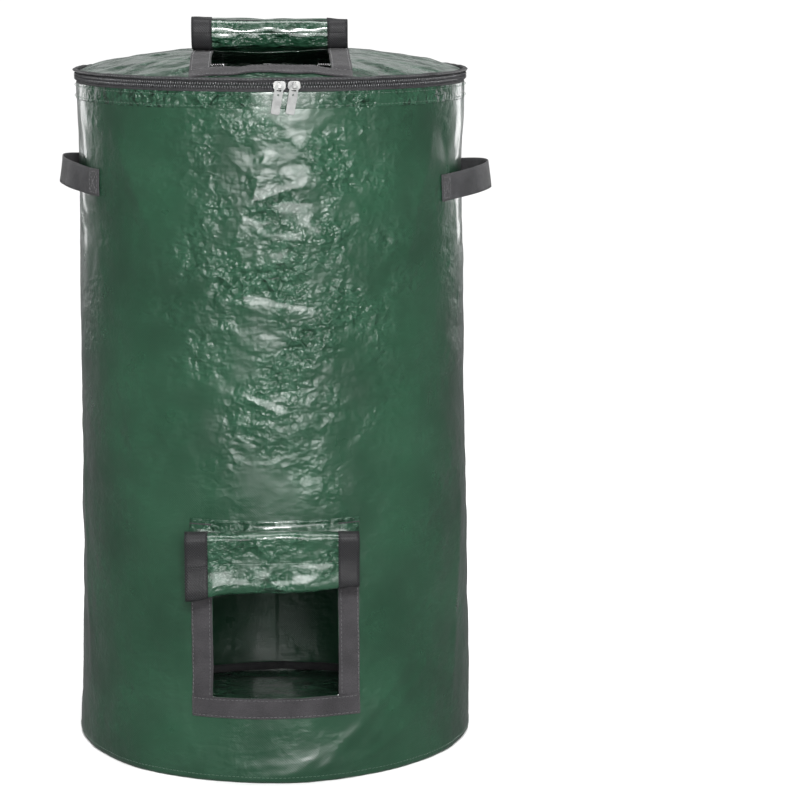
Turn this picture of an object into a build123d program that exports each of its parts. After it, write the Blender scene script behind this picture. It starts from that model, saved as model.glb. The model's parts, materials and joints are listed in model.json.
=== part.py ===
"""Zip-lidded compost bag: a round sack of coated woven polyethylene with a zipped lid, a feed
window in the lid, a harvest window low in the front, and two webbing carrying handles.

Frame: millimetres, +Z up, origin on the floor under the middle of the bag, and the harvest
window faces -Y.  An azimuth is measured from the front, and is positive towards +X.
A flap is one sheet of fabric on the real bag.  Here it is cut at the creases of its roll into
flat slats, each hinged to the one before, so that it can unroll.
"""

import os
from math import cos, degrees, radians, sin

from build123d import *

# ---- bag ----------------------------------------------------------------------------------
BASE_RADIUS = 231.0
TOP_RADIUS = 221.0
WALL_HEIGHT = 761.0
COLLAR = 18.0  # height of the straight stretch above the taper, at the zip
FABRIC = 1.2
SEAM_ALLOWANCE = 10.0

# ---- zip ----------------------------------------------------------------------------------
ZIP_ABOVE_WALL = 12.0  # from the wall's top edge to the line where the two rows of coils meet
ZIP_SLIT = 1.2
TAPE_THICKNESS = 0.8
LOWER_TAPE_HEIGHT = 22.0
UPPER_TAPE_HEIGHT = 7.2
COIL_HEIGHT = 3.4
COIL_DEPTH = 2.6
HINGE_HALF_ANGLE = 15.0  # the back of the rim, where the lid is sewn on and has no zip
END_TAB_LENGTH = 14.0
END_TAB_DROP = 2.0
BINDING = 1.2
WALL_HEM_HEIGHT = 18.0
WALL_HEM_LIP = 5.0  # how far the wall's folded hem stands above its cut edge

# ---- sliders and their pulls ----------------------------------------------------------------
SLIDER_WIDTH = 9.6
SLIDER_LENGTH = 13.0
SLIDER_PLATE = 1.3
SLIDER_CORNER = 3.2
SLIDER_GAP = 0.35
SLIDER_PITCH = 15.4
SLIDER_MEETING_AZIMUTH = 4.3
WEDGE_LENGTH = 6.0
WEDGE_CLEARANCE = 0.15
ROOT = 0.2  # how far a wedge or a bridge goes into the plate that carries it
BRIDGE_WIDTH = 3.0
BRIDGE_LENGTH = 7.0
BRIDGE_RISE = 4.4
BRIDGE_BAR = 1.2
BRIDGE_CORNER = 1.1
PULL_LENGTH = 31.0
PULL_WIDTH = 9.5
PULL_THICKNESS = 1.5
PULL_EYE = 4.4
PULL_EYE_WALL = 2.0
PULL_EYE_EXTRA = 1.0
PULL_EYE_CORNER = 1.0
PULL_CORNER = 2.2
PULL_HOLE_RADIUS = 1.1
PULL_HOLE_DROP = 4.0
PULL_LEAN = 10.0
PULL_DROP = 0.7  # how far the pull's top bar hangs below the middle of the bridge

# ---- lid ----------------------------------------------------------------------------------
LID_EDGE_ABOVE_ZIP = 6.5
LID_RISE = 22.5
PIPING_HEIGHT = 3.2
PIPING_DEPTH = 3.6
PIPING_LIP = 1.7
PIPING_CHAMFER = 1.0

# ---- windows: fabric opening, framed on three sides by loop tape ----------------------------
FRONT_WINDOW_WIDTH = 140.0
TOP_WINDOW_WIDTH = 130.0
HOOK_TAPE_WIDTH = 23.0
FRAME_TAPE = 1.0
HOOK_TAPE = 0.8
FRONT_SEAM_HEIGHT = 294.0
TOP_SEAM_Y = -14.0
FLAP_HEM = 5.0

# ---- flaps: slat lengths from the seam to the free edge, each turned a quarter turn ---------
FLAP_FABRIC = 1.0
FRONT_SLATS = [69.0, 30.0, 68.0, 25.0, 27.0]
TOP_SLATS = [38.0, 34.0, 36.0, 28.0, 27.0, 25.0]
CREASE_GAP = 1.1
FLAP_CLEARANCE = 0.6

# ---- handles ------------------------------------------------------------------------------
HANDLE_BELOW_EDGE = 103.0  # from the wall's top edge down to the middle of the webbing
WEBBING_WIDTH = 30.0
WEBBING = 1.6
HANDLE_END_AZIMUTH = 59.0
HANDLE_PATCH = 26.0
HANDLE_STAND_OFF = 25.0
HANDLE_MOVING_SPAN = 0.62  # share of the loop's chord that swings
HANDLE_JOIN_GAP = 0.8

WALL_TAPER_END = WALL_HEIGHT - COLLAR
ZIP_HEIGHT = WALL_HEIGHT + ZIP_ABOVE_WALL
LID_EDGE_HEIGHT = ZIP_HEIGHT + LID_EDGE_ABOVE_ZIP
HANDLE_HEIGHT = WALL_HEIGHT - HANDLE_BELOW_EDGE
FRONT_FLAP_WIDTH = FRONT_WINDOW_WIDTH + 2 * HOOK_TAPE_WIDTH
TOP_FLAP_WIDTH = TOP_WINDOW_WIDTH + 2 * HOOK_TAPE_WIDTH
FRONT_FLAP_LENGTH = sum(FRONT_SLATS)
TOP_FLAP_LENGTH = sum(TOP_SLATS)
FRONT_FRAME_BOTTOM = FRONT_SEAM_HEIGHT - FRONT_FLAP_LENGTH
FRONT_FLAP_Y = -(BASE_RADIUS + FRAME_TAPE + FLAP_CLEARANCE + HOOK_TAPE + FLAP_FABRIC / 2)
BIG = 4 * (BASE_RADIUS + WALL_HEIGHT)


def wall_radius(height):
    """Outer radius of the wall at a height."""
    share = min(height / WALL_TAPER_END, 1)
    return BASE_RADIUS + (TOP_RADIUS - BASE_RADIUS) * share


def lid_height(radius):
    """Height of the lid's upper face at a distance from the bag's axis."""
    return LID_EDGE_HEIGHT + LID_RISE * (1 - (radius / TOP_RADIUS) ** 2)


def on_rim(radius, azimuth, height):
    """The point at an azimuth from the front, positive towards +X."""
    angle = radians(azimuth)
    return Vector(radius * sin(angle), -radius * cos(angle), height)


def turned(profile, start=0.0, arc=360.0):
    """Revolves (radius, height) corners about the bag's axis, from one azimuth over an arc."""
    face = make_face(Polyline([(r, 0, z) for r, z in profile], close=True))
    solid = revolve(face, Axis.Z, revolution_arc=arc)
    return Rotation(0, 0, start - 90) * solid


def ring(inner, outer, low, high, start=0.0, arc=360.0):
    """A band of rectangular section around the bag's axis."""
    corners = [(inner, low), (outer, low), (outer, high), (inner, high)]
    return turned(corners, start, arc)


def wall_shell(low, high, offset, thickness):
    """A skin that follows the wall, from an offset outside it outwards."""
    heights = [low, high]
    if low < WALL_TAPER_END < high:
        heights.insert(1, WALL_TAPER_END)
    near = [(wall_radius(z) + offset, z) for z in heights]
    far = [(radius + thickness, z) for radius, z in reversed(near)]
    return turned(near + far)


def lid_shell(offset, thickness):
    """A domed skin that follows the lid, from an offset above it upwards."""
    edge, middle = lid_height(TOP_RADIUS), lid_height(0)
    halfway = lid_height(TOP_RADIUS / 2)
    lower = [(0, middle), (TOP_RADIUS / 2, halfway), (TOP_RADIUS, edge)]
    low = [Vector(r, 0, z + offset) for r, z in lower]
    high = [point + Vector(0, 0, thickness) for point in low]
    outline = [
        ThreePointArc(*low),
        Line(low[2], high[2]),
        ThreePointArc(*reversed(high)),
        Line(high[0], low[0]),
    ]
    return revolve(make_face(Wire(outline)), Axis.Z)


def block(x_low, x_high, y_low, y_high, z_low, z_high):
    """A box between two corners."""
    size = (x_high - x_low, y_high - y_low, z_high - z_low)
    middle = ((x_low + x_high) / 2, (y_low + y_high) / 2, (z_low + z_high) / 2)
    return Pos(*middle) * Box(*size)


# ---- fabric body --------------------------------------------------------------------------


def wall_panel():
    """The round wall, with the harvest window cut out of its front."""
    wall = wall_shell(0, WALL_HEIGHT, -FABRIC, FABRIC)
    half = FRONT_WINDOW_WIDTH / 2
    window_low = FRONT_FRAME_BOTTOM + HOOK_TAPE_WIDTH
    return wall - block(-half, half, -BIG, 0, window_low, FRONT_SEAM_HEIGHT)


def base_panel():
    """The round base, inside the foot of the wall."""
    return ring(0, wall_radius(FABRIC) - FABRIC, 0, FABRIC)


def base_seam_binding():
    """The tape inside the bag over the seam of wall and base."""
    outer = wall_radius(FABRIC + SEAM_ALLOWANCE) - FABRIC
    return ring(outer - BINDING, outer, FABRIC, FABRIC + SEAM_ALLOWANCE)


def wall_top_hem():
    """The wall's folded top edge, sewn over the lower zip tape."""
    high = WALL_HEIGHT + WALL_HEM_LIP
    return ring(TAPE_OUTSIDE, TAPE_OUTSIDE + FABRIC, high - WALL_HEM_HEIGHT, high)


# ---- zip ----------------------------------------------------------------------------------

ZIP_START = -(180 - HINGE_HALF_ANGLE)
ZIP_ARC = 2 * (180 - HINGE_HALF_ANGLE)
LOWER_EDGE = ZIP_HEIGHT - ZIP_SLIT / 2
UPPER_EDGE = ZIP_HEIGHT + ZIP_SLIT / 2
TAPE_OUTSIDE = TOP_RADIUS + TAPE_THICKNESS
COIL_OUTSIDE = TAPE_OUTSIDE + COIL_DEPTH


def zip_tape(low, high):
    """The woven tape of one row of coils."""
    return ring(TOP_RADIUS, TAPE_OUTSIDE, low, high, ZIP_START, ZIP_ARC)


def zip_coil(low):
    """One row of coils, as a plain band."""
    return ring(TAPE_OUTSIDE, COIL_OUTSIDE, low, low + COIL_HEIGHT, ZIP_START, ZIP_ARC)


def hinge_strip(low, high):
    """The fabric that holds the lid on at the back, half of it on each side of the crease."""
    start = 180 - HINGE_HALF_ANGLE
    return ring(TOP_RADIUS, TAPE_OUTSIDE, low, high, start, 2 * HINGE_HALF_ANGLE)


def zip_end_tabs():
    """A folded tab over each end of the lower row of coils, which stops the sliders."""
    arc = degrees(END_TAB_LENGTH / TOP_RADIUS)
    low = LOWER_EDGE - COIL_HEIGHT
    inner = COIL_OUTSIDE
    tabs = [
        ring(inner, inner + BINDING, low - END_TAB_DROP, LOWER_EDGE, start, arc)
        for start in (ZIP_START, ZIP_START + ZIP_ARC - arc)
    ]
    return Compound([solid for tab in tabs for solid in tab.solids()])


def slider(azimuth):
    """Two plates that clasp the coils, joined by the wedge in the slit, and a pull bridge."""
    inner_face = TOP_RADIUS - SLIDER_GAP
    outer_face = COIL_OUTSIDE + SLIDER_GAP
    low, high = ZIP_HEIGHT - SLIDER_WIDTH / 2, ZIP_HEIGHT + SLIDER_WIDTH / 2
    outline = RectangleRounded(SLIDER_LENGTH, SLIDER_WIDTH, SLIDER_CORNER)
    column = extrude(Plane(origin=(0, 0, ZIP_HEIGHT), x_dir=(1, 0, 0), z_dir=(0, -1, 0)) * outline, BIG)
    inner = column & ring(inner_face - SLIDER_PLATE, inner_face, low, high)
    outer = column & ring(outer_face, outer_face + SLIDER_PLATE, low, high)
    wedge_arc = degrees(WEDGE_LENGTH / TOP_RADIUS)
    wedge_half = ZIP_SLIT / 2 - WEDGE_CLEARANCE
    wedge_low, wedge_high = ZIP_HEIGHT - wedge_half, ZIP_HEIGHT + wedge_half
    wedge_start = -wedge_arc / 2
    wedge = ring(inner_face - ROOT, outer_face + ROOT, wedge_low, wedge_high, wedge_start, wedge_arc)
    front = -(outer_face + SLIDER_PLATE)
    middle = front + (BRIDGE_CORNER - BRIDGE_RISE) / 2
    across = Plane(origin=(0, middle, ZIP_HEIGHT), x_dir=(0, 1, 0), z_dir=(1, 0, 0))
    arch = RectangleRounded(BRIDGE_RISE + BRIDGE_CORNER, BRIDGE_LENGTH, BRIDGE_CORNER)
    bridge = extrude(across * arch, BRIDGE_WIDTH / 2, both=True)
    bottom, top = ZIP_HEIGHT - BRIDGE_LENGTH / 2, ZIP_HEIGHT + BRIDGE_LENGTH / 2
    under_bar = front - BRIDGE_RISE + BRIDGE_BAR
    wide = BRIDGE_WIDTH
    hole = block(-wide, wide, under_bar, front, bottom + BRIDGE_BAR, top - BRIDGE_BAR)
    body = inner + outer + wedge + (bridge - hole)
    return Rotation(0, 0, azimuth) * body


def pull(azimuth):
    """A stamped tab whose top bar lies under the slider's bridge."""
    plate = COIL_OUTSIDE + SLIDER_GAP + SLIDER_PLATE
    hang_y = -(plate + (BRIDGE_RISE - BRIDGE_BAR) / 2)
    plane = Plane(origin=(0, hang_y, 0), x_dir=(1, 0, 0), z_dir=(0, -1, 0))
    middle = (PULL_EYE_WALL - PULL_LENGTH) / 2
    eye_centre = -(PULL_EYE_WALL + PULL_EYE) / 2
    hole_centre = eye_centre - PULL_EYE / 2 - PULL_HOLE_DROP
    tab = Pos(0, middle) * RectangleRounded(PULL_WIDTH, PULL_LENGTH, PULL_CORNER)
    eye = RectangleRounded(PULL_EYE + PULL_EYE_EXTRA, PULL_EYE, PULL_EYE_CORNER)
    tab -= Pos(0, eye_centre) * eye
    tab -= Pos(0, hole_centre) * Circle(PULL_HOLE_RADIUS)
    leaning = plane * (Rotation(0, 0, -PULL_LEAN) * tab)
    solid = extrude(leaning, PULL_THICKNESS / 2, both=True)
    return Rotation(0, 0, azimuth) * (Pos(0, 0, ZIP_HEIGHT - PULL_DROP) * solid)


SLIDER_STEP = degrees(SLIDER_PITCH / TOP_RADIUS) / 2
SLIDER_AZIMUTHS = {
    "left": SLIDER_MEETING_AZIMUTH - SLIDER_STEP,
    "right": SLIDER_MEETING_AZIMUTH + SLIDER_STEP,
}


# ---- lid ----------------------------------------------------------------------------------


def lid_panel():
    """The domed lid, with the feed window cut out of its front half."""
    lid = lid_shell(-FABRIC, FABRIC)
    half = TOP_WINDOW_WIDTH / 2
    front = TOP_SEAM_Y - TOP_FLAP_LENGTH + HOOK_TAPE_WIDTH
    return lid - block(-half, half, front, TOP_SEAM_Y, 0, BIG)


def lid_piping():
    """The piping round the lid's edge, sewn over the upper zip tape."""
    inner, outer = TAPE_OUTSIDE, TAPE_OUTSIDE + PIPING_DEPTH
    high = LID_EDGE_HEIGHT + PIPING_LIP
    low = high - PIPING_HEIGHT
    chamfer = PIPING_CHAMFER
    return turned([
        (inner, low),
        (outer - chamfer, low),
        (outer, low + chamfer),
        (outer, high - chamfer),
        (outer - chamfer, high),
        (inner, high),
    ])


# ---- window frames and flap hems --------------------------------------------------------------


def front_tapes():
    """Loop tape on the wall: left, right and bottom of the harvest window."""
    half, outer = FRONT_WINDOW_WIDTH / 2, FRONT_FLAP_WIDTH / 2
    low, high = FRONT_FRAME_BOTTOM, FRONT_SEAM_HEIGHT
    skin = wall_shell(low - 1, high + 1, 0, FRAME_TAPE)
    bottom_top = low + HOOK_TAPE_WIDTH
    return {
        "front_frame_left": skin & block(-outer, -half, -BIG, 0, bottom_top, high),
        "front_frame_right": skin & block(half, outer, -BIG, 0, bottom_top, high),
        "front_frame_bottom": skin & block(-outer, outer, -BIG, 0, low, bottom_top),
    }


def top_tapes():
    """Loop tape on the lid: left, right and front of the feed window."""
    half, outer = TOP_WINDOW_WIDTH / 2, TOP_FLAP_WIDTH / 2
    front, back = TOP_SEAM_Y - TOP_FLAP_LENGTH, TOP_SEAM_Y
    skin = lid_shell(0, FRAME_TAPE)
    inner_front = front + HOOK_TAPE_WIDTH
    return {
        "top_frame_left": skin & block(-outer, -half, inner_front, back, 0, BIG),
        "top_frame_right": skin & block(half, outer, inner_front, back, 0, BIG),
        "top_frame_front": skin & block(-outer, outer, front, inner_front, 0, BIG),
    }


def front_flap_hem():
    """The turned-over top edge of the front flap, sewn to the wall above the window."""
    half, low = FRONT_FLAP_WIDTH / 2, FRONT_SEAM_HEIGHT
    skin = wall_shell(low - 1, low + FLAP_HEM + 1, 0, FRAME_TAPE)
    return skin & block(-half, half, -BIG, 0, low, low + FLAP_HEM)


def top_flap_hem():
    """The turned-over back edge of the lid's flap, sewn to the lid behind the window."""
    half = TOP_FLAP_WIDTH / 2
    strip = block(-half, half, TOP_SEAM_Y, TOP_SEAM_Y + FLAP_HEM, 0, BIG)
    return lid_shell(0, FRAME_TAPE) & strip


# ---- flaps --------------------------------------------------------------------------------

TOP_FLAP_Z = lid_height(0) + FRAME_TAPE + FLAP_CLEARANCE + HOOK_TAPE + FLAP_FABRIC / 2
FRONT_FLAP = {
    "slats": FRONT_SLATS,
    "window": FRONT_WINDOW_WIDTH,
    "seam": Vector(0, FRONT_FLAP_Y, FRONT_SEAM_HEIGHT),
    "along": Vector(0, 0, -1),
    "out": Vector(0, -1, 0),
}
TOP_FLAP = {
    "slats": TOP_SLATS,
    "window": TOP_WINDOW_WIDTH,
    "seam": Vector(0, TOP_SEAM_Y, TOP_FLAP_Z),
    "along": Vector(0, -1, 0),
    "out": Vector(0, 0, 1),
}


def creases(flap):
    """The seam, each crease and the free edge of a rolled flap, with each slat's direction."""
    point, direction, normal = flap["seam"], flap["along"], flap["out"]
    points, directions = [point], []
    for length in flap["slats"]:
        point = point + direction * length
        points.append(point)
        directions.append(direction)
        direction, normal = normal, -direction
    return points, directions


def flap_pieces(flap, index):
    """One slat of fabric, and the hook tape sewn to its inner face."""
    points, directions = creases(flap)
    start, along = points[index], directions[index]
    length = flap["slats"][index]
    width_axis = Vector(1, 0, 0)
    outward = width_axis.cross(along)
    closed_outward = width_axis.cross(flap["along"])
    if closed_outward.dot(flap["out"]) < 0:
        outward = -outward
    plane = Plane(origin=start, x_dir=width_axis, z_dir=outward)
    toward = 1 if plane.y_dir.dot(along) > 0 else -1

    def strip(x_low, x_high, near, far, low, high):
        size = (x_high - x_low, far - near, high - low)
        middle = ((x_low + x_high) / 2, toward * (near + far) / 2, (low + high) / 2)
        return plane * Pos(*middle) * Box(*size)

    inner = flap["window"] / 2
    half = inner + HOOK_TAPE_WIDTH
    near, far = CREASE_GAP, length - CREASE_GAP
    skin = FLAP_FABRIC / 2
    fabric = strip(-half, half, near, far, -skin, skin)
    tapes = [
        strip(-half, -inner, near, far, -skin - HOOK_TAPE, -skin),
        strip(inner, half, near, far, -skin - HOOK_TAPE, -skin),
    ]
    if index == len(flap["slats"]) - 1:
        edge = far - HOOK_TAPE_WIDTH + 2 * CREASE_GAP
        tapes.append(strip(-inner, inner, edge, far, -skin - HOOK_TAPE, -skin))
    return fabric, Compound([solid for tape in tapes for solid in tape.solids()])


# ---- handles ------------------------------------------------------------------------------


def patch_arc():
    return degrees(HANDLE_PATCH / wall_radius(HANDLE_HEIGHT))


def half_loop_arc():
    """The angle from the middle of a handle to the inner edge of either sewn end."""
    return 90 - HANDLE_END_AZIMUTH - patch_arc()


def loop_point(side, share, outwards):
    """A point on the strap, at a share (-1 to 1) of the loop's arc."""
    gap = HANDLE_STAND_OFF * (1 - share**2)
    radius = wall_radius(HANDLE_HEIGHT) + gap + outwards
    point = on_rim(radius, 90 + share * half_loop_arc(), HANDLE_HEIGHT)
    return Vector(side * point.X, point.Y, HANDLE_HEIGHT)


def strap(side, first, last):
    """A stretch of the strap that stands off the wall, between two shares of the loop."""
    shares = [first, (first + last) / 2, last]
    inner = [loop_point(side, share, 0) for share in shares]
    outer = [loop_point(side, share, WEBBING) for share in shares]
    outline = [
        ThreePointArc(*inner),
        Line(inner[2], outer[2]),
        ThreePointArc(*reversed(outer)),
        Line(outer[0], inner[0]),
    ]
    return extrude(make_face(Wire(outline)), WEBBING_WIDTH / 2, both=True)


def handle_ends(side):
    """The two ends of the strap, sewn flat to the wall."""
    low = HANDLE_HEIGHT - WEBBING_WIDTH / 2
    high = low + WEBBING_WIDTH
    skin = wall_shell(low, high, 0, WEBBING)
    arc = patch_arc()
    ends = []
    for azimuth in (HANDLE_END_AZIMUTH, 180 - HANDLE_END_AZIMUTH - arc):
        start = azimuth if side > 0 else -azimuth - arc
        ends += (skin & ring(1, BIG, low, high, start, arc)).solids()
    return Compound(ends)


def handle_loop(side):
    """The middle of the strap, a shallow bow that stands off the wall and swings."""
    return strap(side, -HANDLE_MOVING_SPAN, HANDLE_MOVING_SPAN)


def handle_risers(side):
    """The stretches of strap between the sewn ends and the part that swings."""
    low, high = HANDLE_HEIGHT - WEBBING_WIDTH, HANDLE_HEIGHT + WEBBING_WIDTH
    bag = turned([(0, low), (wall_radius(low), low), (wall_radius(high), high), (0, high)])
    loop_length = radians(half_loop_arc()) * wall_radius(HANDLE_HEIGHT)
    nearest = HANDLE_MOVING_SPAN + HANDLE_JOIN_GAP / loop_length
    risers = []
    for end in (-1, 1):
        risers += (strap(side, end, end * nearest) - bag).solids()
    return Compound(risers)


# ---- export -------------------------------------------------------------------------------


def build():
    """Every node, by name."""
    nodes = {
        "wall_panel": wall_panel(),
        "base_panel": base_panel(),
        "base_seam_binding": base_seam_binding(),
        "wall_top_hem": wall_top_hem(),
        "zip_tape_lower": zip_tape(LOWER_EDGE - LOWER_TAPE_HEIGHT, LOWER_EDGE),
        "zip_tape_upper": zip_tape(UPPER_EDGE, UPPER_EDGE + UPPER_TAPE_HEIGHT),
        "zip_coil_lower": zip_coil(LOWER_EDGE - COIL_HEIGHT),
        "zip_coil_upper": zip_coil(UPPER_EDGE),
        "zip_end_tabs": zip_end_tabs(),
        "hinge_strip_lower": hinge_strip(LOWER_EDGE - LOWER_TAPE_HEIGHT, LOWER_EDGE),
        "hinge_strip_upper": hinge_strip(UPPER_EDGE, UPPER_EDGE + UPPER_TAPE_HEIGHT),
        "lid_panel": lid_panel(),
        "lid_piping": lid_piping(),
        "front_flap_hem": front_flap_hem(),
        "top_flap_hem": top_flap_hem(),
    }
    nodes.update(front_tapes())
    nodes.update(top_tapes())
    for name, azimuth in SLIDER_AZIMUTHS.items():
        nodes[f"slider_{name}"] = slider(azimuth)
        nodes[f"pull_{name}"] = pull(azimuth)
    for name, side in (("left", -1), ("right", 1)):
        nodes[f"handle_{name}_ends"] = handle_ends(side)
        nodes[f"handle_{name}_loop"] = handle_loop(side)
        nodes[f"handle_{name}_risers"] = handle_risers(side)
    for name, flap in (("front", FRONT_FLAP), ("top", TOP_FLAP)):
        for index in range(len(flap["slats"])):
            fabric, tapes = flap_pieces(flap, index)
            nodes[f"{name}_flap_{index + 1}"] = fabric
            nodes[f"{name}_hooks_{index + 1}"] = tapes
    return nodes


os.makedirs("parts", exist_ok=True)
for node, shape in build().items():
    export_step(shape, f"parts/{node}.step")
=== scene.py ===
"""The looks of the zip-lidded compost bag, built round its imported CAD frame.

Metres, +Z up, the harvest window faces -Y.  An azimuth is measured in degrees from the front, and
is positive towards +X.  The fabric pieces follow two surfaces, the crumpled wall and the crumpled
lid, so that whatever is sewn to them lies on them.
"""

import json
from math import asin, atan2, ceil, cos, degrees, hypot, pi, radians, sin

import bpy
from mathutils import Vector, noise
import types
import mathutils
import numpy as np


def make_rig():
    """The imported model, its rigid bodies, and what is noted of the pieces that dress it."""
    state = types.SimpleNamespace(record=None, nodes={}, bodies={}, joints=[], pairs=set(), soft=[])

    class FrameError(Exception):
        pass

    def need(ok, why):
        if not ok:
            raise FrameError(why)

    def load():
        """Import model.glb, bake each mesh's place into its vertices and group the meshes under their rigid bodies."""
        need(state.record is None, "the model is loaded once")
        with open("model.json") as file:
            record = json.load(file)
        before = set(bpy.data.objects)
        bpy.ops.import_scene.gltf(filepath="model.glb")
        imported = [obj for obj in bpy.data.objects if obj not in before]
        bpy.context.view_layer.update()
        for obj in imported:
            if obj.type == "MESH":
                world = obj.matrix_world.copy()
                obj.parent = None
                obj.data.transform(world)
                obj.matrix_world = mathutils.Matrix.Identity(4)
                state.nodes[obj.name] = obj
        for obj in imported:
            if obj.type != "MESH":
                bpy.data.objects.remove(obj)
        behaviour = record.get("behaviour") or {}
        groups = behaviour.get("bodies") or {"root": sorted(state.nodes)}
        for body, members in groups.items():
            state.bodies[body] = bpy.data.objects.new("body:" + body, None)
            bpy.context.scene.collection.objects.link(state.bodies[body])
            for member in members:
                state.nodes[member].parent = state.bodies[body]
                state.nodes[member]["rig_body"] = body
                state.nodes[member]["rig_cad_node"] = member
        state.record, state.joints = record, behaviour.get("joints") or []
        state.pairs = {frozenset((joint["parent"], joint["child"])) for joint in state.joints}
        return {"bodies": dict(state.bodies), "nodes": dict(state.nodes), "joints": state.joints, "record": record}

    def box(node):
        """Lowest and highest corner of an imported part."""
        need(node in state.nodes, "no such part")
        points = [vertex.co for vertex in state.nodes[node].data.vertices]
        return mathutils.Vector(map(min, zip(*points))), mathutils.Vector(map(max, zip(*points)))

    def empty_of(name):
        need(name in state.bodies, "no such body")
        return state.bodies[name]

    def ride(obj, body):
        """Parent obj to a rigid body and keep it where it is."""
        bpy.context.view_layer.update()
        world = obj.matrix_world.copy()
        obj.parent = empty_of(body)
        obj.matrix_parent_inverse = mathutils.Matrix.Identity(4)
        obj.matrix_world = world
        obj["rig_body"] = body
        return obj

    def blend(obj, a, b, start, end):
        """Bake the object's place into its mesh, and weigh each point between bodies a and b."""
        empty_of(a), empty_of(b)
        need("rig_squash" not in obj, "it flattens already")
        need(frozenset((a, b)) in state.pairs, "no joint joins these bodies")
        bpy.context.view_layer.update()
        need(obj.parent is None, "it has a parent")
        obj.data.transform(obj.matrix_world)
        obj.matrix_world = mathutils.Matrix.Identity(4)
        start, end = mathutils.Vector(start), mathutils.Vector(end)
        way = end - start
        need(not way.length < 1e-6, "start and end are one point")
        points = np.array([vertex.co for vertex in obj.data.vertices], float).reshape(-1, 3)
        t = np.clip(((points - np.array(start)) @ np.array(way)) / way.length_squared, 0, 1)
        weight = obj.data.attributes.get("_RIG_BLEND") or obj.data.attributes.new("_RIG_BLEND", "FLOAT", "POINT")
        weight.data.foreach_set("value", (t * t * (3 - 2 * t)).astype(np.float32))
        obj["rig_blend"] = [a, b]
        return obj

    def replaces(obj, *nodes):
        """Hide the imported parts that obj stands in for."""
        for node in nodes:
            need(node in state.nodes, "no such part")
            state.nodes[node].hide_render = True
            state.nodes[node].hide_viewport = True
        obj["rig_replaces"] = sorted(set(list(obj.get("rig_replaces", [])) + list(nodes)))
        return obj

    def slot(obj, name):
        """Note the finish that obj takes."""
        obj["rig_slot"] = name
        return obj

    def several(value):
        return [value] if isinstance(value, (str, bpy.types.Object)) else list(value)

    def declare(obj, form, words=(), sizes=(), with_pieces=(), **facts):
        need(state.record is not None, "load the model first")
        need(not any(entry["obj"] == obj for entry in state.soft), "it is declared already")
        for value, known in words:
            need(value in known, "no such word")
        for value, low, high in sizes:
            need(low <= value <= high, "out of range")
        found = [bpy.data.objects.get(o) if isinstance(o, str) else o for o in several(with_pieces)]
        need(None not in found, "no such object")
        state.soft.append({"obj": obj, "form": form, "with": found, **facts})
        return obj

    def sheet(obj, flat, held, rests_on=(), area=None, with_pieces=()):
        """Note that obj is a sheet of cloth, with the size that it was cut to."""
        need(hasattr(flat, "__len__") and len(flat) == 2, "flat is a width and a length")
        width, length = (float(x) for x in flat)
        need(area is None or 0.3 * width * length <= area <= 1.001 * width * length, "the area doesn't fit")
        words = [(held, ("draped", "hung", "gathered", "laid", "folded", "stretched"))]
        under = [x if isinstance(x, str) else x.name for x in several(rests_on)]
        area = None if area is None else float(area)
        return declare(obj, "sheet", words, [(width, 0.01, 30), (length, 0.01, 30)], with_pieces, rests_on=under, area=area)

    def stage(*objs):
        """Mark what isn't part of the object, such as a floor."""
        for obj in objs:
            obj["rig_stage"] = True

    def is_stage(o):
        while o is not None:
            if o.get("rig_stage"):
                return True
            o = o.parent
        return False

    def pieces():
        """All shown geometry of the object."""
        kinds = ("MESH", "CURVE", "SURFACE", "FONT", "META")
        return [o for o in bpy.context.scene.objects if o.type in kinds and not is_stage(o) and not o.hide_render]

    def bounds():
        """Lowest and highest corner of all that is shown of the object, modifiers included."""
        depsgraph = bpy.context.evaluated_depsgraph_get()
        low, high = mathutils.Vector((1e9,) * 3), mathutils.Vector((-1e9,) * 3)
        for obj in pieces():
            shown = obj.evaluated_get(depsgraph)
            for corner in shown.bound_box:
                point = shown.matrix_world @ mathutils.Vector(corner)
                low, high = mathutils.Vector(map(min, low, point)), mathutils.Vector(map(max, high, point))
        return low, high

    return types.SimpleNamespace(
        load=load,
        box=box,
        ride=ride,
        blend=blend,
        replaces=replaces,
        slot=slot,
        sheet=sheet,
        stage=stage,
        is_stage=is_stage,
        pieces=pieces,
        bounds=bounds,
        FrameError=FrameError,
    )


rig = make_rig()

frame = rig.load()
CAD_LOW, CAD_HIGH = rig.bounds()
JOINTS = {joint["name"]: joint for joint in frame["joints"]}

# ---- camera ------------------------------------------------------------------

CAMERA_PLACE = (0.0, -3.025, 0.9355)
CAMERA_DOWN = 10.18
CAMERA_RIGHT = 2.81
CAMERA_LENS = 117.7
SENSOR = 36.0


def make_camera():
    data = bpy.data.cameras.new("camera")
    data.lens = CAMERA_LENS
    data.sensor_width = SENSOR
    camera = bpy.data.objects.new("camera", data)
    camera.location = CAMERA_PLACE
    camera.rotation_euler = (radians(90 - CAMERA_DOWN), 0, radians(-CAMERA_RIGHT))
    bpy.context.scene.collection.objects.link(camera)
    bpy.context.scene.camera = camera


make_camera()

# ---- sizes, read from the frame ----------------------------------------------

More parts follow.
